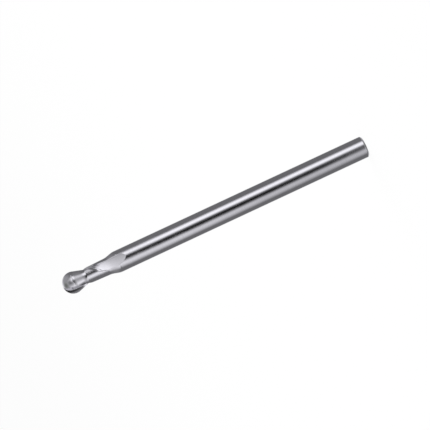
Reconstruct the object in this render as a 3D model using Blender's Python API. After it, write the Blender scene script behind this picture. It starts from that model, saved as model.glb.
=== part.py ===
"""A solid carbide ball end mill: one ground piece with a plain shank, a slimmer neck and a spherical head.

The tool stands on the end of its shank. Z = 0 is the end of the shank, and +Z runs along the axis to the tip
of the ball. It has two teeth, cuts right-handed, and its flutes wind right-handed. A distance called behind is
measured from the ball's centre towards the shank, so it is negative on the front half of the ball.
"""

import bmesh
import bpy
from math import atan2, cos, pi, radians, sin, sqrt, tan
from mathutils import Vector

MM = 0.001

# Blank, as turned and ground before the flutes
OVERALL_LENGTH = 90.0 * MM
SHANK_DIAMETER = 6.0 * MM
SHANK_CHAMFER = 0.45 * MM
BALL_DIAMETER = 6.0 * MM
BALL_BACK_TAPER = radians(16.5)
NECK_DIAMETER_AT_BALL = 4.15 * MM
NECK_DIAMETER_AT_SHOULDER = 4.7 * MM
NECK_FILLET_LENGTH = 1.6 * MM
NECK_REACH = 9.9 * MM
SHOULDER_LENGTH = 3.4 * MM

# Section of a flute: its floor, the rake wall under the cutting edge and the wall under the heel
TOOTH_COUNT = 2
WEB_THICKNESS = 3.1 * MM
EDGE_OPENING = radians(30.0)
RAKE_ANGLE = radians(1.0)
HEEL_OPENING = radians(29.0)
BALL_HEEL_OPENING = radians(40.0)
BALL_HEEL_START = 2.2 * MM
HEEL_WALL_LEAN = radians(38.0)
CORNER_RADIUS = 0.2 * MM
FLOOR_HOLLOW_RADIUS = 14.0 * MM
TIP_SHARE = 0.1

# Course of a flute: nearly straight over the ball, a steep helix along the neck, straight again where it runs out
HELIX_LEAD = 19.5 * MM
BALL_LEAD = 240.0 * MM
RUN_OUT_LEAD = 900.0 * MM
HELIX_TOP = 0.75 * MM
HELIX_TOP_EASE = 2.0 * MM
HELIX_END = 8.0 * MM
HELIX_END_EASE = 1.6 * MM
RUN_OUT_DIRECTION = radians(-77.0)

# Run-out, a scoop with level sides that rises through the shoulder into the shank
SCOOP_START = 6.2 * MM
SCOOP_FULL = 8.8 * MM
SCOOP_WIDTH = 2.1 * MM
RUN_OUT_START = 8.6 * MM
RUN_OUT_END = 15.5 * MM
RUN_OUT_CURVE = 1.25

# Relief behind each cutting edge on the ball
MARGIN_ANGLE = radians(8.0)
RELIEF_ANGLE = radians(9.0)
RELIEF_POLAR_START = radians(104.0)
RELIEF_POLAR_END = radians(16.0)

# Fineness of the surfaces
SEGMENTS_ROUND = 72
BALL_STEPS = 22
FILLET_STEPS = 4
SHOULDER_STEPS = 10
STATIONS_RUN_OUT = 13
STATIONS_HEAD = 27
STATIONS_BALL = 20
STATIONS_RELIEF = 18
FLOOR_STEPS = 8
CORNER_STEPS = 4
WALL_STEPS = 4
HELIX_SUM_STEPS = 100
SHARP_EDGE_ANGLE = radians(24.0)

# How far the cutters reach beyond the metal
OVERREACH = 1.2 * MM
PAST_END = 0.8 * MM
RELIEF_LEAD = 0.3 * MM
RELIEF_REACH = 1.8 * MM
MERGE_DISTANCE = 0.001 * MM

BALL_RADIUS = BALL_DIAMETER / 2
SHANK_RADIUS = SHANK_DIAMETER / 2
NECK_SLOPE = (NECK_DIAMETER_AT_SHOULDER - NECK_DIAMETER_AT_BALL) / 2 / NECK_REACH
FLOOR = WEB_THICKNESS / 2
BALL_CENTRE_Z = OVERALL_LENGTH - BALL_RADIUS
TAPER_START = BALL_RADIUS * sin(BALL_BACK_TAPER)
TOOTH_PITCH = 2 * pi / TOOTH_COUNT


def clear_scene():
    """Empties the scene."""
    for obj in list(bpy.data.objects):
        bpy.data.objects.remove(obj, do_unlink=True)


def carbide_material():
    """Ground tungsten carbide, a bright and slightly cool grey metal."""
    material = bpy.data.materials.new("ground_carbide")
    material.use_nodes = True
    shader = material.node_tree.nodes["Principled BSDF"]
    shader.inputs["Base Color"].default_value = (0.62, 0.62, 0.65, 1.0)
    shader.inputs["Metallic"].default_value = 1.0
    shader.inputs["Roughness"].default_value = 0.2
    return material


def eased(share):
    """A share from 0 to 1 with a soft start and end, level outside them."""
    share = min(1.0, max(0.0, share))
    return share * share * (3 - 2 * share)


def neck_line(behind):
    """Radius of the neck between its fillet and its shoulder."""
    return NECK_DIAMETER_AT_BALL / 2 + NECK_SLOPE * behind


def taper_line(behind):
    """Radius of the taper behind the ball, a cone that touches the sphere."""
    return BALL_RADIUS * cos(BALL_BACK_TAPER) - (behind - TAPER_START) * tan(BALL_BACK_TAPER)


def neck_fillet():
    """Distances behind the ball's centre where the fillet between taper and neck starts and ends."""
    closing = tan(BALL_BACK_TAPER) + NECK_SLOPE
    meeting = TAPER_START + (taper_line(TAPER_START) - neck_line(TAPER_START)) / closing
    return meeting - NECK_FILLET_LENGTH / 2, meeting + NECK_FILLET_LENGTH / 2


def blank_radius(behind):
    """Radius of the blank at a distance behind the ball's centre."""
    if behind < TAPER_START:
        return sqrt(max(0.0, BALL_RADIUS * BALL_RADIUS - behind * behind))
    start, end = neck_fillet()
    if behind < start:
        return taper_line(behind)
    if behind < end:
        share = (behind - start) / NECK_FILLET_LENGTH
        corner = taper_line((start + end) / 2)
        near_taper = taper_line(start) + (corner - taper_line(start)) * share
        near_neck = corner + (neck_line(end) - corner) * share
        return near_taper + (near_neck - near_taper) * share
    if behind < NECK_REACH:
        return neck_line(behind)
    rise = eased((behind - NECK_REACH) / SHOULDER_LENGTH)
    return neck_line(NECK_REACH) + (SHANK_RADIUS - neck_line(NECK_REACH)) * rise


def steps_between(first, last, count):
    """Values or points from first to last in equal steps, both ends included."""
    return [first + (last - first) * (i / count) for i in range(count + 1)]


def blank_profile():
    """Outline of the blank as (radius, z) points, from the tip down its outer side to the axis at the shank end."""
    points = [(0.0, OVERALL_LENGTH)]
    for polar in steps_between(0.0, pi / 2 + BALL_BACK_TAPER, BALL_STEPS)[1:]:
        points.append((BALL_RADIUS * sin(polar), BALL_CENTRE_Z + BALL_RADIUS * cos(polar)))
    stops = steps_between(*neck_fillet(), FILLET_STEPS)
    stops += steps_between(NECK_REACH, NECK_REACH + SHOULDER_LENGTH, SHOULDER_STEPS)
    points += [(blank_radius(behind), BALL_CENTRE_Z - behind) for behind in stops]
    points.append((SHANK_RADIUS, SHANK_CHAMFER))
    points.append((SHANK_RADIUS - SHANK_CHAMFER, 0.0))
    points.append((0.0, 0.0))
    return points


def blank_object(material):
    """The turned blank, its profile spun about the axis by a Screw modifier."""
    mesh = bpy.data.meshes.new("blank")
    points = blank_profile()
    edges = [(i, i + 1) for i in range(len(points) - 1)]
    mesh.from_pydata([(r, 0.0, z) for r, z in points], edges, [])
    mesh.materials.append(material)
    blank = bpy.data.objects.new("cutter", mesh)
    bpy.context.scene.collection.objects.link(blank)
    spin = blank.modifiers.new("Turned", "SCREW")
    spin.axis = "Z"
    spin.angle = 2 * pi
    spin.screw_offset = 0.0
    spin.steps = SEGMENTS_ROUND
    spin.render_steps = SEGMENTS_ROUND
    spin.use_merge_vertices = True
    spin.merge_threshold = MERGE_DISTANCE
    return blank


def twist_rate(behind):
    """Turn of a flute for each metre towards the tip."""
    off_run_out = eased((HELIX_END - behind) / HELIX_END_EASE)
    off_ball = eased((behind - HELIX_TOP) / HELIX_TOP_EASE)
    turns_below = 1 / RUN_OUT_LEAD + (1 / HELIX_LEAD - 1 / RUN_OUT_LEAD) * off_run_out
    return 2 * pi * (1 / BALL_LEAD + (turns_below - 1 / BALL_LEAD) * off_ball)


def flute_direction(behind):
    """Direction that the floor of the first flute faces, its turn summed from the end of the run-out."""
    height = (RUN_OUT_END - behind) / HELIX_SUM_STEPS
    rates = [twist_rate(RUN_OUT_END - height * (i + 0.5)) for i in range(HELIX_SUM_STEPS)]
    return RUN_OUT_DIRECTION + height * sum(rates)


def floor_distance(behind):
    """Distance of a flute's floor from the axis: level on the head, then rising to the surface of the shank."""
    share = max(0.0, (behind - RUN_OUT_START) / (RUN_OUT_END - RUN_OUT_START))
    return FLOOR + (SHANK_RADIUS - FLOOR) * share ** RUN_OUT_CURVE


def heading(angle):
    """The unit vector that points at an angle from +X."""
    return Vector((cos(angle), sin(angle)))


def rounded_corner(foot, before, after):
    """Points of an arc in the corner at foot, between the two unit vectors that lead away from it."""
    half = before.angle(after) / 2
    centre = foot + (before + after).normalized() * CORNER_RADIUS / sin(half)
    first = foot + before * CORNER_RADIUS / tan(half) - centre
    last = foot + after * CORNER_RADIUS / tan(half) - centre
    start = atan2(first.y, first.x)
    turn = atan2(first.x * last.y - first.y * last.x, first.dot(last))
    return [centre + CORNER_RADIUS * heading(angle) for angle in steps_between(start, start + turn, CORNER_STEPS)]


def heel_opening(behind):
    """Angle from the middle of a flute to its heel, wider on the ball than on the neck."""
    return HEEL_OPENING + (BALL_HEEL_OPENING - HEEL_OPENING) * eased(1 - behind / BALL_HEEL_START)


def flute_section(behind):
    """Section of a flute, as points that go round it once.

    The floor faces +X. The rake wall with the cutting edge stands on its -Y side, the heel wall on its +Y side.
    """
    widening = eased((behind - SCOOP_START) / (SCOOP_FULL - SCOOP_START))
    rake_way = heading(RAKE_ANGLE - EDGE_OPENING)
    heel_way = heading(HEEL_WALL_LEAN)
    edge = BALL_RADIUS * heading(-EDGE_OPENING)
    heel = BALL_RADIUS * heading(heel_opening(behind))
    rake_y = edge.y - rake_way.y / rake_way.x * (edge.x - FLOOR)
    heel_y = heel.y - heel_way.y / heel_way.x * (heel.x - FLOOR)
    rake_foot = Vector((floor_distance(behind), rake_y - (SCOOP_WIDTH / 2 + rake_y) * widening))
    heel_foot = Vector((floor_distance(behind), heel_y + (SCOOP_WIDTH / 2 - heel_y) * widening))
    top = BALL_RADIUS + OVERREACH
    rake_top = rake_foot + rake_way * (top - rake_foot.x) / rake_way.x
    heel_top = heel_foot + heel_way * (top - heel_foot.x) / heel_way.x
    rake_corner = rounded_corner(rake_foot, rake_way, Vector((0.0, 1.0)))
    heel_corner = rounded_corner(heel_foot, Vector((0.0, -1.0)), heel_way)
    floor = steps_between(rake_corner[-1], heel_corner[0], FLOOR_STEPS)
    half_width = (floor[-1] - floor[0]).length / 2
    middle = (floor[0] + floor[-1]) / 2
    for point in floor:
        sag = (half_width ** 2 - (point.y - middle.y) ** 2) / 2 / FLOOR_HOLLOW_RADIUS
        point.x -= max(0.0, sag)
    points = steps_between(rake_top, rake_corner[0], WALL_STEPS)[:-1] + rake_corner[:-1] + floor
    points += heel_corner[1:] + steps_between(heel_corner[-1], heel_top, WALL_STEPS)[1:]
    return points[::-1]


def turned_points(points, angle):
    """The points of a section, turned about the axis."""
    return [(x * cos(angle) - y * sin(angle), x * sin(angle) + y * cos(angle)) for x, y in points]


def lofted_cutter(name, stations):
    """A closed cutter through a list of (points, z) sections that all have as many points."""
    shape = bmesh.new()
    rings = [[shape.verts.new((x, y, z)) for x, y in points] for points, z in stations]
    for lower, upper in zip(rings, rings[1:]):
        for i, corner in enumerate(lower):
            following = (i + 1) % len(lower)
            shape.faces.new((corner, lower[following], upper[following], upper[i]))
    shape.faces.new(rings[0][::-1])
    shape.faces.new(rings[-1])
    bmesh.ops.triangulate(shape, faces=shape.faces)
    bmesh.ops.recalc_face_normals(shape, faces=shape.faces)
    mesh = bpy.data.meshes.new(name)
    shape.to_mesh(mesh)
    shape.free()
    cutter = bpy.data.objects.new(name, mesh)
    cutter.hide_render = True
    cutter.display_type = "WIRE"
    bpy.context.scene.collection.objects.link(cutter)
    return cutter


def flute_stops():
    """Distances behind the ball's centre of a flute's sections, from past its run-out to past the tip."""
    stops = steps_between(RUN_OUT_END + PAST_END, RUN_OUT_START, STATIONS_RUN_OUT)[:-1]
    stops += steps_between(RUN_OUT_START, 0.0, STATIONS_HEAD)[:-1]
    stops += [-BALL_RADIUS * sin(latitude) for latitude in steps_between(0.0, pi / 2, STATIONS_BALL)[:-1]]
    return stops + [-BALL_RADIUS - PAST_END]


def ball_share(behind):
    """Size of a section on the front of the ball against its size on the equator."""
    if behind >= 0:
        return 1.0
    return max(TIP_SHARE, blank_radius(behind) / BALL_RADIUS)


def flute_cutter(index):
    """The space that the grinding wheel clears for one flute."""
    stations = []
    for behind in flute_stops():
        points = [point * ball_share(behind) for point in flute_section(behind)]
        angle = flute_direction(behind) + index * TOOTH_PITCH
        stations.append((turned_points(points, angle), BALL_CENTRE_Z - behind))
    return lofted_cutter(f"flute_cutter_{index + 1}", stations)


def relief_cutter(index):
    """The space that is ground away behind one cutting edge on the ball, past its margin."""
    back = -heading(pi / 2 - RELIEF_ANGLE)
    start = Vector((BALL_RADIUS, 0.0))
    near = start - RELIEF_LEAD * back
    far = start + RELIEF_REACH * back
    outward = RELIEF_REACH * heading(0.0)
    stations = []
    for polar in steps_between(RELIEF_POLAR_START, RELIEF_POLAR_END, STATIONS_RELIEF):
        behind = -BALL_RADIUS * cos(polar)
        points = [point * sin(polar) for point in (near, far, far + outward, near + outward)]
        angle = flute_direction(behind) - EDGE_OPENING - MARGIN_ANGLE + index * TOOTH_PITCH
        stations.append((turned_points(points, angle), BALL_CENTRE_Z - behind))
    return lofted_cutter(f"relief_cutter_{index + 1}", stations)


def cut_away(blank, cutter):
    """Takes the cutter's space out of the blank."""
    cut = blank.modifiers.new(cutter.name, "BOOLEAN")
    cut.operation = "DIFFERENCE"
    cut.solver = "EXACT"
    cut.object = cutter


def shaded(blank):
    """Settles the modifiers into the mesh and shades it smooth between its sharp edges."""
    graph = bpy.context.evaluated_depsgraph_get()
    mesh = bpy.data.meshes.new_from_object(blank.evaluated_get(graph))
    mesh.name = "cutter"
    mesh.shade_smooth()
    mesh.set_sharp_from_angle(angle=SHARP_EDGE_ANGLE)
    blank.modifiers.clear()
    blank.data = mesh


def main():
    """Builds the tool."""
    clear_scene()
    blank = blank_object(carbide_material())
    cutters = [flute_cutter(index) for index in range(TOOTH_COUNT)]
    cutters += [relief_cutter(index) for index in range(TOOTH_COUNT)]
    for cutter in cutters:
        cut_away(blank, cutter)
    shaded(blank)
    for cutter in cutters:
        bpy.data.objects.remove(cutter, do_unlink=True)


main()
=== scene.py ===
"""Looks of a solid carbide ball end mill that stands on the end of its shank.

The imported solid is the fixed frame. The shown cutter has the same round blank with far finer surfaces, and
two flutes whose cutting edges, heels and relief lie on the lines of its grid. Every length is in metres. A
distance called behind is measured from the ball's centre towards the shank.
"""

import logging
import math
from collections.abc import Callable, Sequence
from dataclasses import dataclass, field
from enum import Enum

import bmesh
import bpy
import numpy as np
from mathutils import Matrix, Vector


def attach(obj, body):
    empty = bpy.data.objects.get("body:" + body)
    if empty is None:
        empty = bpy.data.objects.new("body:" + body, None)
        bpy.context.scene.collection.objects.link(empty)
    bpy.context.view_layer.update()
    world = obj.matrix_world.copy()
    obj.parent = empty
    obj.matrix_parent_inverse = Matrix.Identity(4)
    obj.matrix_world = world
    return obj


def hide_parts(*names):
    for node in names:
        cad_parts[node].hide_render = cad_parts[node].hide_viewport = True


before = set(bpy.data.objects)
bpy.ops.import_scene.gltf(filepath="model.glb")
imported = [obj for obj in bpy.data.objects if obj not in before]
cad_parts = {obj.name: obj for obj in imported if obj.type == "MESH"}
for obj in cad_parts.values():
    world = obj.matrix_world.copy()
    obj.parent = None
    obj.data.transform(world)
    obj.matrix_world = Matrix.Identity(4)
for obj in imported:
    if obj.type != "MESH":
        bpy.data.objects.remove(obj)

MM = 0.001
PHOTO_PIXELS = 430
GRINDING_MAP = "grinding"
WHITE = (1.0, 1.0, 1.0, 1.0)

Socket = bpy.types.NodeSocket
Pair = tuple[float, float]
Triple = tuple[float, float, float]

log = logging.getLogger("ball_end_mill")


def eased(share: float) -> float:
    """A share from 0 to 1 with a soft start and end, level outside them."""
    share = min(1.0, max(0.0, share))
    return share * share * (3.0 - 2.0 * share)


def heading(angle: float) -> np.ndarray:
    """The unit vector in the cross-section that points at an angle from +X."""
    return np.array((math.cos(angle), math.sin(angle)))


class Shade:
    """A number socket in a node tree that takes part in Python expressions.

    The operators add the Math nodes, so an expression reads as the sum that it is.
    """

    def __init__(self, bench: "NodeBench", socket: Socket) -> None:
        """Wraps a socket.

        Args:
            bench: The node tree that the socket belongs to.
            socket: The output socket that gives the value.
        """
        self.bench = bench
        self.socket = socket

    def combined(self, operation: str, *others: "Shade | float") -> "Shade":
        """Applies a Math operation to this value and others.

        Args:
            operation: Name of the Math node's operation.
            others: The second value, and the third where the operation has one.

        Returns:
            The result.
        """
        inputs = dict(enumerate((self, *others)))
        node = self.bench.node("ShaderNodeMath", inputs, operation=operation)
        return Shade(self.bench, node.outputs[0])

    def __add__(self, other: "Shade | float") -> "Shade":
        """Sum."""
        return self.combined("ADD", other)

    def __radd__(self, other: float) -> "Shade":
        """A number on the left plus this value."""
        return self + other

    def __sub__(self, other: "Shade | float") -> "Shade":
        """Difference."""
        return self.combined("SUBTRACT", other)

    def __rsub__(self, other: float) -> "Shade":
        """A number on the left minus this value."""
        return self * -1.0 + other

    def __mul__(self, other: "Shade | float") -> "Shade":
        """Product."""
        return self.combined("MULTIPLY", other)

    def __rmul__(self, other: float) -> "Shade":
        """A number on the left times this value."""
        return self * other

    def __truediv__(self, other: "Shade | float") -> "Shade":
        """Quotient."""
        return self.combined("DIVIDE", other)

    def __pow__(self, other: float) -> "Shade":
        """Power."""
        return self.combined("POWER", other)

    def angle_from(self, other: "Shade") -> "Shade":
        """Angle of the point whose height is this value and whose run is the other, in radians."""
        return self.combined("ARCTAN2", other)

    def at_most(self, limit: float) -> "Shade":
        """The smaller of this value and a limit."""
        return self.combined("MINIMUM", limit)

    def magnitude(self) -> "Shade":
        """The value without its sign."""
        return self.combined("ABSOLUTE")

    def bump(self, centre: float, reach: float) -> "Shade":
        """A soft hump that is 1 at the centre and 0 from the reach outwards.

        Args:
            centre: Value at the top of the hump.
            reach: Distance from the centre at which the hump ends.

        Returns:
            The hump.
        """
        away = (self - centre) / reach
        return (1.0 - (away * away).at_most(1.0)) ** 2.0

    def ramp(self, start: float, end: float) -> "Shade":
        """A smooth step from 0 at the start to 1 at the end.

        Args:
            start: Value at which the step begins.
            end: Value at which it is complete.

        Returns:
            The step.
        """
        inputs = {"Value": self, "From Min": start, "From Max": end}
        node = self.bench.node("ShaderNodeMapRange", inputs, interpolation_type="SMOOTHSTEP", clamp=True)
        return Shade(self.bench, node.outputs["Result"])


class NodeBench:
    """The node tree of one material or of the world, emptied and ready to be wired."""

    noise_roughness: float = 0.6

    def __init__(self, owner: bpy.types.Material | bpy.types.World) -> None:
        """Takes over the owner's node tree.

        Args:
            owner: The material or world to build nodes for.
        """
        owner.use_nodes = True
        self.tree = owner.node_tree
        self.tree.nodes.clear()

    def node(self, kind: str, inputs: dict | None = None, **settings: str | bool) -> bpy.types.Node:
        """Adds a node, applies its settings and then fills or links its sockets.

        Args:
            kind: Blender's type name of the node.
            inputs: Values, shades or output sockets by socket name or number.
            settings: Attributes of the node, such as an operation.

        Returns:
            The node.
        """
        made = self.tree.nodes.new(kind)
        for name, value in settings.items():
            setattr(made, name, value)
        for key, value in (inputs or {}).items():
            if isinstance(value, Shade):
                self.tree.links.new(value.socket, made.inputs[key])
            elif isinstance(value, Socket):
                self.tree.links.new(value, made.inputs[key])
            else:
                made.inputs[key].default_value = value
        return made

    def shade(self, node: bpy.types.Node, output: str) -> Shade:
        """An output of a node as a value for expressions."""
        return Shade(self, node.outputs[output])

    def vector(self, x: Shade | float, y: Shade | float, z: Shade | float) -> Socket:
        """The vector with three given components."""
        return self.node("ShaderNodeCombineXYZ", {"X": x, "Y": y, "Z": z}).outputs["Vector"]

    def components(self, vector: Socket) -> tuple[Shade, Shade, Shade]:
        """The three components of a vector."""
        parts = self.node("ShaderNodeSeparateXYZ", {"Vector": vector})
        return self.shade(parts, "X"), self.shade(parts, "Y"), self.shade(parts, "Z")

    def noise(self, vector: Socket, scale: float, detail: float) -> Shade:
        """Smooth noise from 0 to 1 over a vector.

        Args:
            vector: Where the noise is read.
            scale: Cells for each unit of the vector.
            detail: How many finer layers are added.

        Returns:
            The noise.
        """
        inputs = {"Vector": vector, "Scale": scale, "Detail": detail, "Roughness": self.noise_roughness}
        return self.shade(self.node("ShaderNodeTexNoise", inputs), "Fac")

    def mixed_colour(self, factor: Shade, first: Triple, second: Triple) -> Socket:
        """A colour between two.

        Args:
            factor: 0 for the first colour and 1 for the second.
            first: Red, green and blue of the first colour.
            second: Red, green and blue of the second colour.

        Returns:
            The socket that gives the colour.
        """
        factor_in, first_in, second_in, colour_out = 0, 6, 7, 2
        inputs = {factor_in: factor, first_in: (*first, 1.0), second_in: (*second, 1.0)}
        mix = self.node("ShaderNodeMix", inputs, data_type="RGBA", blend_type="MIX")
        return mix.outputs[colour_out]

    def scaled_colour(self, colour: Triple, scale: Shade) -> Socket:
        """A colour made brighter or darker by a value."""
        inputs = {0: colour, "Scale": scale}
        return self.node("ShaderNodeVectorMath", inputs, operation="SCALE").outputs["Vector"]

    def mixed_shader(self, factor: Shade, first: Socket, second: Socket) -> Socket:
        """A shader between two."""
        return self.node("ShaderNodeMixShader", {0: factor, 1: first, 2: second}).outputs[0]

    def seen_share(self) -> Shade:
        """Tells the rays that show a background from those that light the object.

        Returns:
            1 for rays from the camera, off metal and through glass, and 0 for scattered light.
        """
        path = self.node("ShaderNodeLightPath")
        seen = self.shade(path, "Is Camera Ray") + self.shade(path, "Is Glossy Ray")
        return (seen + self.shade(path, "Is Transmission Ray")).at_most(1.0)


class GrindingLay(Enum):
    """Which way the wheel's fine lines run on a surface."""

    AROUND = "around the axis"
    ALONG = "along the flute"
    FACING = "around the middle of the end face"


@dataclass(frozen=True)
class GroundCarbide:
    """Finish of ground tungsten carbide: a cool bright metal with fine lines left by the wheel."""

    name: str
    lay: GrindingLay
    bright: Triple = (0.700, 0.695, 0.730)
    dull: Triple = (0.620, 0.615, 0.650)
    roughness: float = 0.12
    roughness_spread: float = 0.06
    line_spacing: float = 0.045 * MM
    line_length: float = 3.0 * MM
    line_depth: float = 0.00012 * MM
    band_scale: float = 0.14
    band_depth: float = 1.5
    cloud_size: float = 2.5 * MM
    wear_shares: Triple = (0.45, 0.35, 0.20)
    wear_span: Pair = (0.34, 0.66)
    polish_span: Pair = (0.3, 0.7)

    def material(self) -> bpy.types.Material:
        """Builds the material.

        Returns:
            The material.
        """
        material = bpy.data.materials.new(self.name)
        bench = NodeBench(material)
        spots = bench.node("ShaderNodeTexCoord").outputs["Object"]
        place = self.line_place(bench, spots)
        lines = bench.noise(place, scale=1.0, detail=3.0)
        bands = bench.noise(place, scale=self.band_scale, detail=2.0)
        clouds = bench.noise(spots, scale=1.0 / self.cloud_size, detail=3.0)
        line_share, band_share, cloud_share = self.wear_shares
        wear = (lines * line_share + bands * band_share + clouds * cloud_share).ramp(*self.wear_span)
        polish = ((lines + clouds) / 2.0).ramp(*self.polish_span)
        height = lines + self.band_depth * bands
        relief = {"Strength": 1.0, "Distance": self.line_depth, "Height": height}
        look = {
            "Base Color": bench.mixed_colour(wear, self.dull, self.bright),
            "Metallic": 1.0,
            "Roughness": self.roughness - self.roughness_spread / 2 + self.roughness_spread * polish,
            "Normal": bench.node("ShaderNodeBump", relief).outputs["Normal"],
        }
        shader = bench.node("ShaderNodeBsdfPrincipled", look)
        bench.node("ShaderNodeOutputMaterial", {"Surface": shader.outputs["BSDF"]})
        return material

    def line_place(self, bench: NodeBench, spots: Socket) -> Socket:
        """The coordinates of the grinding lines, dense across them and slow along them.

        Args:
            bench: The material's node tree.
            spots: Object coordinates.

        Returns:
            The vector to read the noise at.
        """
        dense = 1.0 / self.line_spacing
        slow = 1.0 / self.line_length
        x, y, z = bench.components(spots)
        if self.lay is GrindingLay.AROUND:
            return bench.vector(x * slow, y * slow, z * dense)
        if self.lay is GrindingLay.FACING:
            middle_distance = (x * x + y * y) ** 0.5
            return bench.vector(x * slow, y * slow, middle_distance * dense)
        marks = bench.node("ShaderNodeUVMap", uv_map=GRINDING_MAP).outputs["UV"]
        across, along, _ = bench.components(marks)
        return bench.vector(across * (MM * dense), along * (MM * slow), 0.0)


@dataclass(frozen=True)
class RoundBlank:
    """The ground round blank before its flutes: shank, shoulder, neck, taper and ball."""

    overall_length: float = 90.0 * MM
    shank_diameter: float = 6.0 * MM
    shank_chamfer: float = 0.45 * MM
    chamfer_edge: float = 0.05 * MM
    edge_roundings: Triple = (0.15, 0.3, 0.75)
    ball_diameter: float = 6.0 * MM
    ball_back_taper: float = math.radians(16.5)
    neck_diameter_at_ball: float = 4.15 * MM
    neck_diameter_at_shoulder: float = 4.7 * MM
    neck_fillet_length: float = 1.6 * MM
    neck_reach: float = 9.9 * MM
    shoulder_length: float = 3.4 * MM

    @property
    def ball_radius(self) -> float:
        """Radius of the ball."""
        return self.ball_diameter / 2

    @property
    def shank_radius(self) -> float:
        """Radius of the shank."""
        return self.shank_diameter / 2

    @property
    def ball_centre_z(self) -> float:
        """Height of the ball's centre."""
        return self.overall_length - self.ball_radius

    @property
    def taper_start(self) -> float:
        """Distance behind the ball's centre at which the taper leaves the sphere."""
        return self.ball_radius * math.sin(self.ball_back_taper)

    @property
    def neck_slope(self) -> float:
        """Growth of the neck's radius for each metre towards the shank."""
        return (self.neck_diameter_at_shoulder - self.neck_diameter_at_ball) / 2 / self.neck_reach

    def neck_line(self, behind: float) -> float:
        """Radius of the straight neck."""
        return self.neck_diameter_at_ball / 2 + self.neck_slope * behind

    def taper_line(self, behind: float) -> float:
        """Radius of the taper behind the ball."""
        start = self.ball_radius * math.cos(self.ball_back_taper)
        return start - (behind - self.taper_start) * math.tan(self.ball_back_taper)

    def radius(self, behind: float) -> float:
        """Radius of the blank.

        Args:
            behind: Distance behind the ball's centre.

        Returns:
            The radius there.
        """
        if behind < self.taper_start:
            return math.sqrt(max(0.0, self.ball_radius**2 - behind**2))
        closing = math.tan(self.ball_back_taper) + self.neck_slope
        gap = self.taper_line(self.taper_start) - self.neck_line(self.taper_start)
        start = self.taper_start + gap / closing - self.neck_fillet_length / 2
        end = start + self.neck_fillet_length
        if behind < start:
            return self.taper_line(behind)
        if behind < end:
            share = (behind - start) / self.neck_fillet_length
            return self.taper_line(behind) + closing * self.neck_fillet_length / 2 * share**2
        if behind < self.neck_reach:
            return self.neck_line(behind)
        foot = self.neck_line(self.neck_reach)
        return foot + (self.shank_radius - foot) * eased((behind - self.neck_reach) / self.shoulder_length)

    def end_profile(self) -> list[Pair]:
        """Outline of the shank's end, from the shank's side to the flat end.

        Returns:
            The radius and the height of each point.
        """
        outer, chamfer, edge = self.shank_radius, self.shank_chamfer, self.chamfer_edge
        inner = outer - chamfer
        bite, turn, run = (share * edge for share in self.edge_roundings)
        return [
            (outer, chamfer + 3 * edge),
            (outer, chamfer + edge),
            (outer - bite, chamfer + turn),
            (outer - run, chamfer - run),
            (inner + run, run),
            (inner - turn, bite),
            (inner - edge, 0.0),
            (inner / 2, 0.0),
        ]


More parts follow.
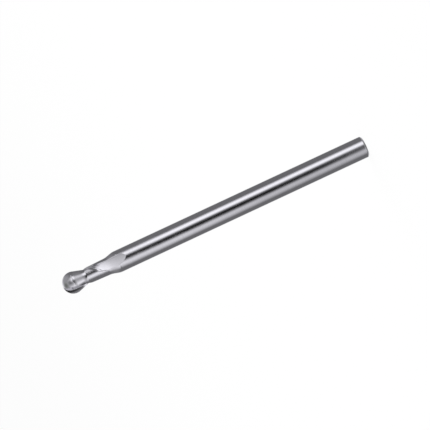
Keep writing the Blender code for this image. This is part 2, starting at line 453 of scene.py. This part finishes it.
@dataclass(frozen=True)
class FluteForm:
    """Course and section of the flutes, and the relief behind their cutting edges on the ball."""

    blank: RoundBlank
    tooth_count: int = 2

    # Section: the web between the flutes, the edge's and the heel's side, and the hollow floor.
    web_thickness: float = 3.1 * MM
    edge_opening: float = math.radians(30.0)
    rake_angle: float = math.radians(1.0)
    heel_opening: float = math.radians(29.0)
    ball_heel_opening: float = math.radians(40.0)
    ball_heel_start: float = 2.2 * MM
    heel_wall_lean: float = math.radians(38.0)
    corner_radius: float = 0.2 * MM
    floor_hollow_radius: float = 20.0 * MM
    tip_share: float = 0.1

    # Course: the wind on the neck, the slower ones on the ball and in the run-out, and where they change.
    helix_lead: float = 19.5 * MM
    ball_lead: float = 145.0 * MM
    run_out_lead: float = 900.0 * MM
    helix_top: float = 1.9 * MM
    helix_top_ease: float = 2.0 * MM
    helix_end: float = 8.7 * MM
    helix_end_ease: float = 1.6 * MM
    run_out_direction: float = math.radians(-77.0)

    # Run-out: its even width, the wider foot on the edge's side, and the rise to the shank's surface.
    scoop_start: float = 6.2 * MM
    scoop_full: float = 8.8 * MM
    scoop_width: float = 2.1 * MM
    flare_start: float = 8.4 * MM
    flare_full: float = 11.0 * MM
    flare_width: float = 1.1 * MM
    run_out_start: float = 7.2 * MM
    run_out_end: float = 15.5 * MM
    run_out_curve: float = 1.3

    # Relief behind the cutting edges. Polar angles count from the tip.
    margin_angle: float = math.radians(8.0)
    relief_angle: float = math.radians(9.0)
    relief_polar_start: float = math.radians(104.0)
    relief_polar_end: float = math.radians(16.0)
    relief_fade: float = math.radians(12.0)

    # Fineness of the section's line, which reaches past the metal on both sides.
    overreach: float = 1.2 * MM
    corner_steps: int = 14
    floor_steps: int = 60
    wall_steps: int = 60
    helix_sum_steps: int = 100

    @property
    def pitch(self) -> float:
        """Angle from one tooth to the next."""
        return 2 * math.pi / self.tooth_count

    def direction(self, behind: float) -> float:
        """Direction that the floor of the first flute faces.

        Args:
            behind: Distance behind the ball's centre.

        Returns:
            The angle about the axis, summed from the end of the run-out.
        """
        height = (self.run_out_end - behind) / self.helix_sum_steps
        middles = self.run_out_end - height * (np.arange(self.helix_sum_steps) + 0.5)
        return self.run_out_direction + height * float(sum(self.twist_rate(middle) for middle in middles))

    def twist_rate(self, behind: float) -> float:
        """Turn of a flute for each metre towards the tip.

        Args:
            behind: Distance behind the ball's centre.

        Returns:
            The turn in radians for each metre.
        """
        off_run_out = eased((self.helix_end - behind) / self.helix_end_ease)
        off_ball = eased((behind - self.helix_top) / self.helix_top_ease)
        turns_below = 1 / self.run_out_lead + (1 / self.helix_lead - 1 / self.run_out_lead) * off_run_out
        return 2 * math.pi * (1 / self.ball_lead + (turns_below - 1 / self.ball_lead) * off_ball)

    def floor_distance(self, behind: float) -> float:
        """Distance of the floor from the axis: level on the head, then rising to the shank's surface.

        Args:
            behind: Distance behind the ball's centre.

        Returns:
            The distance, without the hollow of the floor.
        """
        floor = self.web_thickness / 2
        share = max(0.0, (behind - self.run_out_start) / (self.run_out_end - self.run_out_start))
        return floor + (self.blank.shank_radius - floor) * share**self.run_out_curve

    def size_share(self, behind: float) -> float:
        """Size of a section on the front of the ball against its size on the equator.

        Args:
            behind: Distance behind the ball's centre.

        Returns:
            The share, which stays above 0 at the tip.
        """
        if behind >= 0:
            return 1.0
        return max(self.tip_share, self.blank.radius(behind) / self.blank.ball_radius)

    def corner(self, foot: np.ndarray, before: np.ndarray, after: np.ndarray) -> np.ndarray:
        """Points of the arc that rounds a corner of the section.

        Args:
            foot: The sharp corner.
            before: Unit vector from the corner along the side that comes before it.
            after: Unit vector from the corner along the side that comes after it.

        Returns:
            The points, in order.
        """
        half = math.acos(float(np.dot(before, after))) / 2
        between = (before + after) / np.linalg.norm(before + after)
        centre = foot + between * self.corner_radius / math.sin(half)
        first = foot + before * self.corner_radius / math.tan(half) - centre
        last = foot + after * self.corner_radius / math.tan(half) - centre
        turn = math.atan2(first[0] * last[1] - first[1] * last[0], float(np.dot(first, last)))
        angles = math.atan2(first[1], first[0]) + turn * np.linspace(0.0, 1.0, self.corner_steps + 1)
        return centre + self.corner_radius * np.column_stack((np.cos(angles), np.sin(angles)))

    def section(self, behind: float) -> np.ndarray:
        """Line of the ground surface in cross-section, from above the cutting edge to above the heel.

        Args:
            behind: Distance behind the ball's centre.

        Returns:
            Points whose +X is the way that the floor faces.
        """
        floor_x = self.web_thickness / 2
        widening = eased((behind - self.scoop_start) / (self.scoop_full - self.scoop_start))
        opening = self.heel_opening
        opening += (self.ball_heel_opening - opening) * eased(1 - behind / self.ball_heel_start)
        rake_way, heel_way = heading(self.rake_angle - self.edge_opening), heading(self.heel_wall_lean)
        edge = self.blank.ball_radius * heading(-self.edge_opening)
        heel = self.blank.ball_radius * heading(opening)
        rake_y = edge[1] - rake_way[1] / rake_way[0] * (edge[0] - floor_x)
        heel_y = heel[1] - heel_way[1] / heel_way[0] * (heel[0] - floor_x)
        rake_y -= (self.scoop_width / 2 + rake_y) * widening
        heel_y += (self.scoop_width / 2 - heel_y) * widening
        flare = eased((behind - self.flare_start) / (self.flare_full - self.flare_start))
        flare *= 1.0 - eased((behind - self.flare_full) / (self.run_out_end - self.flare_full))
        rake_y -= self.flare_width * flare
        level = self.floor_distance(behind)
        rake_foot, heel_foot = np.array((level, rake_y)), np.array((level, heel_y))
        top = self.blank.ball_radius + self.overreach
        rake_top = rake_foot + rake_way * (top - level) / rake_way[0]
        heel_top = heel_foot + heel_way * (top - level) / heel_way[0]
        rake_corner = self.corner(rake_foot, rake_way, np.array((0.0, 1.0)))
        heel_corner = self.corner(heel_foot, np.array((0.0, -1.0)), heel_way)
        floor = np.linspace(rake_corner[-1], heel_corner[0], self.floor_steps + 1)
        middle = (floor[0, 1] + floor[-1, 1]) / 2
        half_width = (floor[-1, 1] - floor[0, 1]) / 2
        sag = (half_width**2 - (floor[:, 1] - middle) ** 2) / 2 / self.floor_hollow_radius
        floor[:, 0] -= np.maximum(0.0, sag)
        rake_wall = np.linspace(rake_top, rake_corner[0], self.wall_steps, endpoint=False)
        heel_wall = np.linspace(heel_corner[-1], heel_top, self.wall_steps)[1:]
        return np.vstack((rake_wall, rake_corner[:-1], floor, heel_corner[1:], heel_wall))

    def cut(self, behind: float, count: int) -> np.ndarray | None:
        """The part of a section that lies in the metal, from the cutting edge to the heel.

        Args:
            behind: Distance behind the ball's centre.
            count: How many points to give, evenly along the line.

        Returns:
            The points, or None where the flute doesn't reach the metal.
        """
        radius = self.blank.radius(behind)
        line = self.section(behind) * self.size_share(behind)
        reach = np.linalg.norm(line, axis=1)
        inside = np.flatnonzero(reach < radius)
        if len(inside) < 2:
            return None
        first, last = inside[0], inside[-1]
        ends = []
        for within, outside in ((first, first - 1), (last, last + 1)):
            share = (radius - reach[within]) / (reach[outside] - reach[within])
            point = line[within] + (line[outside] - line[within]) * share
            ends.append(point * radius / np.linalg.norm(point))
        kept = np.vstack((ends[0], line[first : last + 1], ends[1]))
        along = np.concatenate(((0.0,), np.cumsum(np.linalg.norm(np.diff(kept, axis=0), axis=1))))
        wanted = np.linspace(0.0, along[-1], count)
        return np.column_stack([np.interp(wanted, along, kept[:, axis]) for axis in (0, 1)])

    def relief_strength(self, behind: float) -> float:
        """How much of the relief is ground at a place on the ball.

        Args:
            behind: Distance behind the ball's centre.

        Returns:
            0 for none of it, up to 1 for all of it.
        """
        if abs(behind) >= self.blank.ball_radius:
            return 0.0
        polar = math.acos(-behind / self.blank.ball_radius)
        rising = eased((self.relief_polar_start - polar) / self.relief_fade)
        return rising * eased((polar - self.relief_polar_end) / self.relief_fade)

    def relieved(self, back_angle: np.ndarray, strength: float) -> np.ndarray:
        """Radius of the land against the blank's.

        Args:
            back_angle: Angles behind the cutting edge.
            strength: How much of the relief is ground here.

        Returns:
            The share of the blank's radius that is left at each angle.
        """
        on_facet = back_angle - self.margin_angle - self.relief_angle
        on_facet = np.clip(on_facet, -self.relief_angle, self.relief_angle)
        facet = math.cos(self.relief_angle) / np.cos(on_facet)
        return 1.0 + (np.minimum(facet, 1.0) - 1.0) * strength


class Surface(Enum):
    """The differently ground surfaces of the cutter, by the number of their material."""

    ROUND = 0
    FLUTE = 1
    RELIEF = 2
    MARGIN = 3
    END = 4
    BALL = 5


@dataclass(frozen=True)
class Ring:
    """One ring of the cutter's grid, with the distance of each point across its flute or land."""

    behind: float
    height: float
    verts: list[bmesh.types.BMVert]
    across: np.ndarray


@dataclass
class CutterBody:
    """The one ground piece of carbide, built as rings of points from the tip to the end of the shank."""

    blank: RoundBlank = field(default_factory=RoundBlank)
    flute_points: int = 72
    land_points: int = 44
    relief_points: int = 12
    margin_points: int = 5
    tip_rings: int = 3
    ball_rings: int = 56
    head_rings: int = 76
    run_out_rings: int = 44
    run_out_edge: float = 0.03 * MM
    shank_rings: int = 14
    ball_crowding: float = 1.2
    run_out_crowding: float = 1.8
    tip_clearance: float = math.radians(8.0)
    past_run_out: float = 1.2
    edge_halvings: int = 40
    sharp_relief: float = 0.3
    merge_distance: float = 0.00002 * MM

    def __post_init__(self) -> None:
        """Sets the flutes into the blank."""
        self.flutes = FluteForm(self.blank)
        beyond = self.flutes.run_out_end * self.past_run_out
        self.run_out_tip = self.edge_of_flute(self.flutes.run_out_start, beyond)
        front = -self.blank.ball_radius
        self.front_tip = self.edge_of_flute(front * math.cos(self.tip_clearance), front)

    def edge_of_flute(self, within: float, beyond: float) -> float:
        """Finds where the flute leaves the metal.

        Args:
            within: A distance behind the ball's centre at which it is cut.
            beyond: One at which it isn't.

        Returns:
            The distance at which it ends.
        """
        for _ in range(self.edge_halvings):
            middle = (within + beyond) / 2
            if self.flutes.cut(middle, 2) is None:
                beyond = middle
            else:
                within = middle
        return beyond

    def stops(self) -> list[float]:
        """Places of the rings from the tip to the start of the shank's end profile.

        Returns:
            Their distances behind the ball's centre.
        """
        radius = self.blank.ball_radius
        tip_polar = math.acos(-self.front_tip / radius)
        stops = [-radius * math.cos(tip_polar * (i + 1) / self.tip_rings) for i in range(self.tip_rings)]
        for share in np.linspace(0.0, 1.0, self.ball_rings + 1)[1:]:
            polar = tip_polar + (math.pi / 2 - tip_polar) * share**self.ball_crowding
            stops.append(-radius * math.cos(polar))
        start = self.flutes.run_out_start
        stops += list(np.linspace(0.0, start, self.head_rings + 1)[1:])
        stops.append(start + self.run_out_edge)
        for share in np.linspace(0.0, 1.0, self.run_out_rings + 1)[1:]:
            stops.append(start + (self.run_out_tip - start) * (1 - (1 - share) ** self.run_out_crowding))
        last = self.blank.ball_centre_z - self.blank.end_profile()[0][1]
        stops += list(np.linspace(self.run_out_tip, last, self.shank_rings + 1)[1:-1])
        return stops

    def outline(self, behind: float, radius: float) -> tuple[np.ndarray, np.ndarray]:
        """Points of one ring in cross-section.

        Each tooth gives its flute from the cutting edge to the heel, and then the land up to the next edge.

        Args:
            behind: Distance behind the ball's centre.
            radius: Radius of the round surface there.

        Returns:
            The points, and for each its distance across the flute or the land.
        """
        flutes = self.flutes
        cut = flutes.cut(behind, self.flute_points) if self.front_tip < behind < self.run_out_tip else None
        if cut is None:
            cut = np.tile((radius, 0.0), (self.flute_points, 1))
        across_flute = np.concatenate(((0.0,), np.cumsum(np.linalg.norm(np.diff(cut, axis=0), axis=1))))
        edge_angle = math.atan2(cut[0, 1], cut[0, 0])
        heel_angle = math.atan2(cut[-1, 1], cut[-1, 0])
        next_edge = edge_angle + flutes.pitch
        relief_width = flutes.margin_angle + 2 * flutes.relief_angle
        plain = np.linspace(heel_angle, next_edge - relief_width, self.land_points + 1)[1:]
        relief = np.linspace(plain[-1], next_edge - flutes.margin_angle, self.relief_points + 1)[1:]
        margin = np.linspace(relief[-1], next_edge, self.margin_points + 1)[1:-1]
        angles = np.concatenate((plain, relief, margin))
        radii = radius * flutes.relieved(next_edge - angles, flutes.relief_strength(behind))
        land = np.column_stack((radii * np.cos(angles), radii * np.sin(angles)))
        tooth = np.vstack((cut, land))
        across = np.concatenate((across_flute, (angles - heel_angle) * radius))
        points = []
        for index in range(flutes.tooth_count):
            turn = flutes.direction(min(behind, self.run_out_tip)) + index * flutes.pitch
            matrix = np.array(((math.cos(turn), -math.sin(turn)), (math.sin(turn), math.cos(turn))))
            points.append(tooth @ matrix.T)
        return np.vstack(points), np.tile(across, flutes.tooth_count)

    @property
    def tooth_columns(self) -> int:
        """Points of a ring that belong to one tooth."""
        return self.flute_points + self.land_points + self.relief_points + self.margin_points - 1

    def surface_at(self, column: int, behind: float) -> Surface:
        """Which surface the face between a column and the next belongs to.

        Args:
            column: Number of the column within its tooth.
            behind: Distance behind the ball's centre.

        Returns:
            The surface.
        """
        relief_from = self.flute_points - 1 + self.land_points
        margin_from = relief_from + self.relief_points
        if column < self.flute_points - 1:
            return Surface.FLUTE
        if self.flutes.relief_strength(behind) > 0.0:
            if column >= margin_from:
                return Surface.MARGIN
            if column >= relief_from:
                return Surface.RELIEF
        return Surface.BALL if behind < self.blank.taper_start else Surface.ROUND

    def sharp_columns(self, behind: float) -> set[int]:
        """Columns that are sharp edges.

        Args:
            behind: Distance behind the ball's centre.

        Returns:
            Their numbers within the tooth.
        """
        sharp = {0, self.flute_points - 1} if self.front_tip <= behind <= self.run_out_tip else set()
        if self.flutes.relief_strength(behind) > self.sharp_relief:
            relief_from = self.flute_points - 1 + self.land_points
            sharp |= {relief_from, relief_from + self.relief_points}
        return sharp

    def mesh(self) -> bpy.types.Mesh:
        """Builds the mesh of the cutter.

        Returns:
            The mesh, with a material number on each face and a map of its grinding lines.
        """
        blank = self.blank
        levels = [(behind, blank.radius(behind), blank.ball_centre_z - behind) for behind in self.stops()]
        levels += [(blank.ball_centre_z - height, radius, height) for radius, height in blank.end_profile()]
        shape = bmesh.new()
        lines = shape.loops.layers.uv.new(GRINDING_MAP)
        rings = [self.ring(shape, *level) for level in levels]
        for upper, lower in zip(rings, rings[1:]):
            self.lay_band(shape, lines, upper, lower)
            self.sharpen(shape, upper, lower)
        self.close_ends(shape, rings[0], rings[-1])
        bmesh.ops.remove_doubles(shape, verts=shape.verts, dist=self.merge_distance)
        bmesh.ops.recalc_face_normals(shape, faces=shape.faces)
        made = bpy.data.meshes.new("carbide_cutter")
        shape.to_mesh(made)
        shape.free()
        return made

    def ring(self, shape: bmesh.types.BMesh, behind: float, radius: float, height: float) -> Ring:
        """Adds the vertices of one ring.

        Args:
            shape: The mesh in the making.
            behind: Distance of the ring behind the ball's centre.
            radius: Radius of the round surface there.
            height: Height of the ring.

        Returns:
            The ring.
        """
        points, across = self.outline(behind, radius)
        return Ring(behind, height, [shape.verts.new((x, y, height)) for x, y in points], across)

    def lay_band(
        self, shape: bmesh.types.BMesh, lines: bmesh.types.BMLayerItem, upper: Ring, lower: Ring
    ) -> None:
        """Adds the faces between two rings, with their surface and their grinding lines.

        Args:
            shape: The mesh in the making.
            lines: Its map of the grinding lines.
            upper: The ring nearer to the tip.
            lower: The next ring.
        """
        middle = (upper.behind + lower.behind) / 2
        on_end = upper.height < self.blank.shank_chamfer + self.blank.chamfer_edge * 2
        for column in range(len(upper.verts)):
            following = (column + 1) % len(upper.verts)
            place = column % self.tooth_columns
            corners = ((upper, column), (lower, column), (lower, following), (upper, following))
            face = shape.faces.new([ring.verts[number] for ring, number in corners])
            face.material_index = (Surface.END if on_end else self.surface_at(place, middle)).value
            face.smooth = True
            step = upper.across[1] if place == self.tooth_columns - 1 else 0.0
            for corner, (ring, number) in zip(face.loops, corners):
                across = ring.across[number] + (step if number == following else 0.0)
                corner[lines].uv = (across / MM, ring.behind / MM)

    def sharpen(self, shape: bmesh.types.BMesh, upper: Ring, lower: Ring) -> None:
        """Marks the cutting edges, the heels and the relief's borders between two rings as sharp.

        Args:
            shape: The mesh in the making.
            upper: The ring nearer to the tip.
            lower: The next ring.
        """
        for place in self.sharp_columns((upper.behind + lower.behind) / 2):
            for index in range(self.flutes.tooth_count):
                column = index * self.tooth_columns + place
                shape.edges.get((upper.verts[column], lower.verts[column])).smooth = False

    def close_ends(self, shape: bmesh.types.BMesh, first: Ring, last: Ring) -> None:
        """Closes the tip and the flat end with fans of triangles.

        Args:
            shape: The mesh in the making.
            first: The ring at the tip.
            last: The ring on the flat end.
        """
        tip = shape.verts.new((0.0, 0.0, self.blank.overall_length))
        foot = shape.verts.new((0.0, 0.0, last.height))
        for column in range(len(first.verts)):
            following = (column + 1) % len(first.verts)
            top = shape.faces.new((tip, first.verts[column], first.verts[following]))
            top.material_index = Surface.BALL.value
            bottom = shape.faces.new((foot, last.verts[following], last.verts[column]))
            bottom.material_index = Surface.END.value
            top.smooth = bottom.smooth = True

    def finishes(self) -> list[GroundCarbide]:
        """Gives each surface its finish.

        Returns:
            The finishes, in the order of the surfaces' numbers.
        """
        lay = GrindingLay
        return [
            GroundCarbide("carbide_ground_round", lay.AROUND),
            GroundCarbide("carbide_ground_flute", lay.ALONG, roughness=0.11, line_depth=0.0002 * MM),
            GroundCarbide("carbide_relief", lay.ALONG, roughness=0.19, line_spacing=0.03 * MM),
            GroundCarbide("carbide_margin", lay.ALONG, roughness=0.11, line_depth=0.00006 * MM),
            GroundCarbide("carbide_shank_end", lay.FACING, roughness=0.24, line_depth=0.0002 * MM),
            GroundCarbide("carbide_ground_ball", lay.AROUND, roughness=0.21, line_spacing=0.035 * MM),
        ]

    def build(self) -> bpy.types.Object:
        """Builds and dresses the cutter, and puts it in the place of its CAD node.

        Returns:
            The shown cutter.
        """
        mesh = self.mesh()
        for finish in self.finishes():
            mesh.materials.append(finish.material())
        cutter = bpy.data.objects.new("carbide_cutter", mesh)
        bpy.context.scene.collection.objects.link(cutter)
        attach(cutter, "root")
        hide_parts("cutter")
        return cutter


@dataclass(frozen=True)
class TentPanel:
    """A soft-edged panel of the light tent, placed by its azimuth and half its width in degrees.

    A flag is such a panel whose level is the share of the light that it takes away.
    """

    azimuth: float
    half_width: float
    level: float
    extra_level_at_head: float = 0.0

    def light(self, azimuth: Shade, head: Shade) -> Shade:
        """Brightness that the panel adds.

        Args:
            azimuth: Direction from the tool, in radians from the camera's side.
            head: 1 at and above the tool's head, 0 at the shank.

        Returns:
            The brightness.
        """
        lit = azimuth.bump(math.radians(self.azimuth), math.radians(self.half_width))
        return lit * (self.level + self.extra_level_at_head * head)


@dataclass
class Studio:
    """A plain pale floor, soft light from above, and the tent whose panels the metal reflects."""

    floor_half_size: float = 9.0
    floor_colour: Triple = (0.93, 0.93, 0.935)
    floor_glow: float = 0.94
    world_level: float = 0.55
    lamp_size: float = 1.4
    lamp_power: float = 14.0
    lamp_place: Triple = (0.35, 0.25, 1.3)
    lamp_target: Triple = (0.0, 0.0, 0.03)

    # The tent's form and cloth, and the plain light of its wall and its ends.
    tent_radius: float = 0.5
    tent_half_height: float = 1.0
    tent_segments: int = 96
    cloth_colour: Triple = (0.985, 0.98, 1.0)
    ceiling_colour: Triple = (0.97, 1.0, 0.95)
    wall_level: float = 0.20
    wall_lift: float = 0.22
    ceiling_level: float = 0.40
    ceiling_middle_level: float = 0.15
    end_fade: Pair = (0.40, 0.95)

    # Panels: the key above the shank's dark line, the fill below it, a weak one between them, and the back.
    key: TentPanel = TentPanel(43.0, 33.0, 1.22, 0.10)
    fill: TentPanel = TentPanel(-46.0, 50.0, 0.46, 0.40)
    gap: TentPanel = TentPanel(0.0, 26.0, 0.14)
    back_half_width: float = 40.0
    back_level: float = 0.70

    # Flags: the dark line of the shank, and the shades on the neck, the ball's taper and the run-out.
    lens_flag: TentPanel = TentPanel(-2.5, 33.5, 0.99)
    neck_flag: TentPanel = TentPanel(14.0, 62.0, 0.97)
    low_flag: TentPanel = TentPanel(-88.0, 52.0, 0.88)
    high_flag: TentPanel = TentPanel(22.0, 62.0, 0.82)

    # Heights on the tent's wall: start and end of a change, or middle and reach of a hump.
    lens_flag_foot: Pair = (-0.078, -0.057)
    lens_flag_top: Pair = (0.068, 0.086)
    head_span: Pair = (-0.05, 0.04)
    low_span: Pair = (-0.24, -0.07)
    high_span: Pair = (0.06, 0.36)
    neck_span: Pair = (0.057, 0.024)
    low_key_dimming: float = 0.60
    high_fill_dimming: float = 0.5
    neck_fill: float = 0.35

    # Turns in degrees: the front of the wall at the neck's height, and the key at the run-out's.
    slant: float = 24.0
    slant_span: Pair = (0.056, 0.036)
    slant_fade: Pair = (80.0, 125.0)
    key_turn: float = 9.0
    key_turn_span: Pair = (0.08, 0.13)

    def build(self) -> None:
        """Builds the floor, the tent, the lamp and the world."""
        self.build_floor()
        self.build_tent()
        self.build_lamp()
        self.build_world()

    def stage_object(
        self, name: str, points: list[Triple], faces: list[Sequence[int]], material: bpy.types.Material
    ) -> bpy.types.Object:
        """Puts a plain mesh of the stage into the scene.

        Args:
            name: Name of the object.
            points: Its corners.
            faces: The corners of each face.
            material: Its material.

        Returns:
            The object.
        """
        mesh = bpy.data.meshes.new(name)
        mesh.from_pydata(points, [], faces)
        mesh.materials.append(material)
        made = bpy.data.objects.new(name, mesh)
        bpy.context.scene.collection.objects.link(made)
        return made

    def build_floor(self) -> None:
        """The pale floor, which keeps the tool's soft shadow. The metal sees the tent instead of it."""
        material = bpy.data.materials.new("pale_floor")
        bench = NodeBench(material)
        paint = bench.node("ShaderNodeBsdfDiffuse", {"Color": (*self.floor_colour, 1.0)})
        glow = bench.node("ShaderNodeEmission", {"Color": WHITE, "Strength": 1.0})
        seen = bench.seen_share() * self.floor_glow
        surface = bench.mixed_shader(seen, paint.outputs[0], glow.outputs[0])
        bench.node("ShaderNodeOutputMaterial", {"Surface": surface})
        size = self.floor_half_size
        corners = [(-size, -size, 0), (size, -size, 0), (size, size, 0), (-size, size, 0)]
        self.stage_object("floor", corners, [(0, 1, 2, 3)], material).visible_glossy = False

    def tent_light(self, bench: NodeBench) -> Shade:
        """Brightness of the tent's wall by direction and height.

        Args:
            bench: Node tree of the tent's material.

        Returns:
            The brightness.
        """
        place = bench.node("ShaderNodeTexCoord").outputs["Object"]
        x, y, z = bench.components(place)
        azimuth = x.angle_from(y * -1.0)
        front = 1.0 - azimuth.magnitude().ramp(*(math.radians(angle) for angle in self.slant_fade))
        azimuth -= z.bump(*self.slant_span) * front * math.radians(self.slant)
        key_azimuth = azimuth + z.ramp(*self.key_turn_span) * math.radians(self.key_turn)
        low, high, at_neck = 1.0 - z.ramp(*self.low_span), z.ramp(*self.high_span), z.bump(*self.neck_span)
        flagged = z.ramp(*self.lens_flag_foot) * (1.0 - z.ramp(*self.lens_flag_top))
        head = z.ramp(*self.head_span) + low
        light = self.key.light(key_azimuth, head) * (1.0 - low * self.low_key_dimming)
        fill_share = 1.0 - high * self.high_fill_dimming + at_neck * self.neck_fill
        light += self.fill.light(azimuth, head) * fill_share
        light += self.gap.light(azimuth, head)
        light = light + z.magnitude().ramp(*self.high_span) * self.wall_lift + self.wall_level
        light += azimuth.magnitude().bump(math.pi, math.radians(self.back_half_width)) * self.back_level
        flags = (self.low_flag, self.lens_flag, self.neck_flag, self.high_flag)
        for flag, share in zip(flags, (low, flagged, at_neck, high)):
            light *= 1.0 - flag.light(azimuth, head) * share
        near_end = z.magnitude().ramp(*self.end_fade)
        return light + (self.ceiling_level - light) * near_end

    def end_light(self, bench: NodeBench) -> Shade:
        """Brightness of the tent's ends, darker in the middle.

        Args:
            bench: Node tree of the end's material.

        Returns:
            The brightness.
        """
        x, y, _ = bench.components(bench.node("ShaderNodeTexCoord").outputs["Object"])
        outward = ((x * x + y * y) ** 0.5).ramp(0.0, self.tent_radius)
        return outward * (self.ceiling_level - self.ceiling_middle_level) + self.ceiling_middle_level

    def cloth(self, name: str, colour: Triple, light: Callable[[NodeBench], Shade]) -> bpy.types.Material:
        """A glowing cloth.

        Args:
            name: Name of the material.
            colour: Red, green and blue of its light.
            light: Gives its brightness in the material's node tree.

        Returns:
            The material.
        """
        material = bpy.data.materials.new(name)
        bench = NodeBench(material)
        glow = bench.node("ShaderNodeEmission", {"Color": bench.scaled_colour(colour, light(bench))})
        bench.node("ShaderNodeOutputMaterial", {"Surface": glow.outputs[0]})
        return material

    def build_tent(self) -> None:
        """The light tent round the tool, seen only in the metal."""
        count, height = self.tent_segments, self.tent_half_height
        corners = [self.tent_radius * heading(2 * math.pi * i / count) for i in range(count)]
        low, high = ([(x, y, level) for x, y in corners] for level in (-height, height))
        steps = [(i, (i + 1) % count) for i in range(count)]
        faces = [(i, following, following + count, i + count) for i, following in steps]
        cloth = self.cloth("tent_cloth", self.cloth_colour, self.tent_light)
        self.seen_in_metal_only(self.stage_object("tent_wall", low + high, faces, cloth))
        for name, points in (("tent_ceiling", high), ("tent_base", low)):
            cloth = self.cloth(name, self.ceiling_colour, self.end_light)
            self.seen_in_metal_only(self.stage_object(name, points, [range(count)], cloth))

    def seen_in_metal_only(self, panel: bpy.types.Object) -> None:
        """Leaves a panel of the tent to reflections, so that it hides and shades nothing.

        Args:
            panel: The panel.
        """
        panel.visible_camera = False
        panel.visible_diffuse = False
        panel.visible_shadow = False
        panel.visible_transmission = False

    def build_lamp(self) -> None:
        """One wide soft lamp above the tool, for the floor's shadow."""
        data = bpy.data.lights.new("soft_lamp", "AREA")
        data.shape = "DISK"
        data.size = self.lamp_size
        data.energy = self.lamp_power
        lamp = bpy.data.objects.new("soft_lamp", data)
        lamp.location = self.lamp_place
        down = Vector(self.lamp_target) - lamp.location
        lamp.rotation_euler = down.to_track_quat("-Z", "Y").to_euler()
        lamp.visible_glossy = False
        bpy.context.scene.collection.objects.link(lamp)

    def build_world(self) -> None:
        """A white world behind everything, at a plain level for the light it gives."""
        world = bpy.data.worlds.new("studio")
        bpy.context.scene.world = world
        bench = NodeBench(world)
        ground = bench.node("ShaderNodeBackground", {"Color": WHITE, "Strength": self.world_level})
        white = bench.node("ShaderNodeBackground", {"Color": WHITE, "Strength": 1.0})
        surface = bench.mixed_shader(bench.seen_share(), ground.outputs[0], white.outputs[0])
        bench.node("ShaderNodeOutputWorld", {"Surface": surface})
        bpy.context.scene.view_settings.view_transform = "Standard"


@dataclass(frozen=True)
class PhotoCamera:
    """A long lens a little above the tool, rolled as far as the tool lies aslant in the photograph."""

    blank: RoundBlank
    elevation: float = math.radians(6.0)
    lens: float = 500.0
    sensor_width: float = 36.0
    clip_ratio: float = 100.0
    pixel_size: float = 0.267739 * MM
    tool_slant: float = math.radians(25.0085)
    ball_pixel: Pair = (73.13, 282.44)

    def build(self) -> bpy.types.Object:
        """Places the camera.

        Returns:
            The camera.
        """
        data = bpy.data.cameras.new("photo_camera")
        data.lens = self.lens
        data.sensor_width = self.sensor_width
        distance = PHOTO_PIXELS * self.pixel_size * self.lens / self.sensor_width
        data.clip_start = distance / self.clip_ratio
        data.clip_end = distance * self.clip_ratio
        forward = Vector((0.0, math.cos(self.elevation), -math.sin(self.elevation)))
        level = Vector((1.0, 0.0, 0.0))
        along = Vector((0.0, math.sin(self.elevation), math.cos(self.elevation)))
        right = -along * math.cos(self.tool_slant) - level * math.sin(self.tool_slant)
        up = level * math.cos(self.tool_slant) - along * math.sin(self.tool_slant)
        middle = PHOTO_PIXELS / 2
        place = Vector((0.0, 0.0, self.blank.ball_centre_z)) - forward * distance
        place -= right * (self.ball_pixel[0] - middle) * self.pixel_size
        place += up * (self.ball_pixel[1] - middle) * self.pixel_size
        camera = bpy.data.objects.new("photo_camera", data)
        facing = Matrix((right, up, -forward)).transposed()
        camera.matrix_world = Matrix.Translation(place) @ facing.to_4x4()
        bpy.context.scene.collection.objects.link(camera)
        bpy.context.scene.camera = camera
        return camera


def main() -> None:
    """Builds the cutter, the studio and the camera, and notes the sizes."""
    logging.basicConfig(level=logging.INFO, format="%(name)s: %(message)s")
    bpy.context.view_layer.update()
    cutter = CutterBody()
    faces, run_out = len(cutter.build().data.polygons), cutter.run_out_tip / MM
    log.info("carbide cutter: %d faces, flutes end %.2f mm behind the ball", faces, run_out)
    Studio().build()
    log.info("studio: pale floor, light tent, soft lamp and white world")
    camera = PhotoCamera(cutter.blank).build()
    log.info("camera: %.0f mm lens, %.2f m from the axis", camera.data.lens, camera.location.xy.length)


if __name__ == "__main__":
    main()
